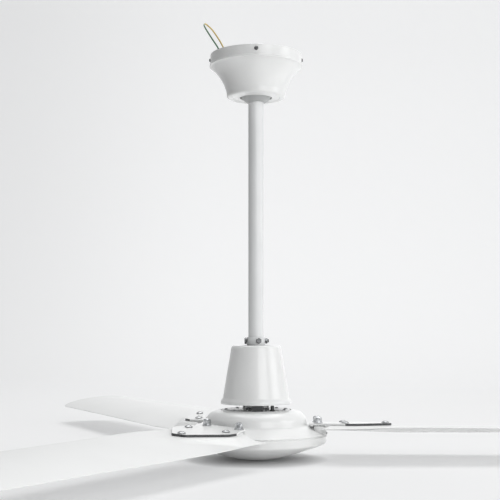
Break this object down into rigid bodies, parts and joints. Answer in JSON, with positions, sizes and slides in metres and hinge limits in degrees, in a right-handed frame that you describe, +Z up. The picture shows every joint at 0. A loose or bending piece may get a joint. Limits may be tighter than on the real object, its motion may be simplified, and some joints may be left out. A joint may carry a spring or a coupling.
{
  "type": "ceiling fan",
  "caption": "White downrod ceiling fan: bell canopy, hanger ball, rod, cone cover, domed outer-rotor motor and pitched sheet blades on bolted irons.",
  "frame": {"origin": "centre of the hanger bracket's flat ceiling face, on the rod's axis", "axes": "+Z up into the ceiling along the rod; +X along the first blade, to the right in the picture; +Y away from the picture's viewer"},
  "size_m": [1.1184, 1.2615, 0.6257],
  "materials": {
    "white_paint": "semi-gloss white enamel on pressed steel",
    "white_aluminium": "aluminium under semi-gloss white enamel",
    "zinc_steel": "zinc-plated, dull",
    "dark_steel": "dark, slightly oiled",
    "grey_plastic": "matt grey nylon",
    "black_plastic": "matt black",
    "copper": "varnished copper winding",
    "wire_sheath": "green and yellow earth wire sheath"
  },
  "bodies": {
    "ceiling_mount": {"hanger_bracket": "zinc_steel", "ball_seat": "black_plastic", "canopy": "white_paint", "canopy_screw_1": "dark_steel", "canopy_screw_2": "dark_steel", "canopy_screw_3": "dark_steel", "canopy_screw_4": "dark_steel", "wire_connector": "black_plastic", "earth_wire": "wire_sheath"},
    "ball_cross": {"ball_pin": "zinc_steel"},
    "hanging": {"hanger_ball": "grey_plastic", "downrod": "white_paint", "coupling": "white_paint", "cross_bolt": "zinc_steel", "cross_nut": "zinc_steel", "lock_screw": "zinc_steel", "shaft": "zinc_steel", "top_plate": "white_paint", "terminal_block": "black_plastic", "lead_grommet": "black_plastic", "capacitor": "black_plastic", "stator_core": "dark_steel", "winding_upper": "copper", "winding_lower": "copper"},
    "cover": {"coupling_cover": "white_paint"},
    "rotor": {"motor_top_shell": "white_aluminium", "motor_bottom_shell": "white_aluminium", "rotor_ring": "dark_steel", "upper_bearing": "zinc_steel", "lower_bearing": "zinc_steel", "blade_1": "white_aluminium", "blade_2": "white_aluminium", "blade_3": "white_aluminium", "blade_iron_1": "white_paint", "blade_iron_2": "white_paint", "blade_iron_3": "white_paint", "iron_bolt_1_1": "zinc_steel", "iron_bolt_1_2": "zinc_steel", "iron_bolt_2_1": "zinc_steel", "iron_bolt_2_2": "zinc_steel", "iron_bolt_3_1": "zinc_steel", "iron_bolt_3_2": "zinc_steel", "blade_screw_1_1": "zinc_steel", "blade_screw_1_2": "zinc_steel", "blade_screw_1_3": "zinc_steel", "blade_screw_2_1": "zinc_steel", "blade_screw_2_2": "zinc_steel", "blade_screw_2_3": "zinc_steel", "blade_screw_3_1": "zinc_steel", "blade_screw_3_2": "zinc_steel", "blade_screw_3_3": "zinc_steel"}
  },
  "joints": [
    {"name": "ball_tilt_side", "type": "hinge", "parent": "ceiling_mount", "child": "ball_cross", "pos_m": [0, 0, -0.0464], "axis": [1, 0, 0], "range_deg": [-20, 20]},
    {"name": "ball_tilt_front", "type": "hinge", "parent": "ball_cross", "child": "hanging", "pos_m": [0, 0, -0.0464], "axis": [0, 1, 0], "range_deg": [-20, 20]},
    {"name": "cover_slide", "type": "slide", "parent": "hanging", "child": "cover", "axis": [0, 0, 1], "range_m": [0, 0.3]},
    {"name": "rotor_spin", "type": "hinge", "parent": "hanging", "child": "rotor", "pos_m": [0, 0, -0.55], "axis": [0, 0, 1], "continuous": true}
  ]
}
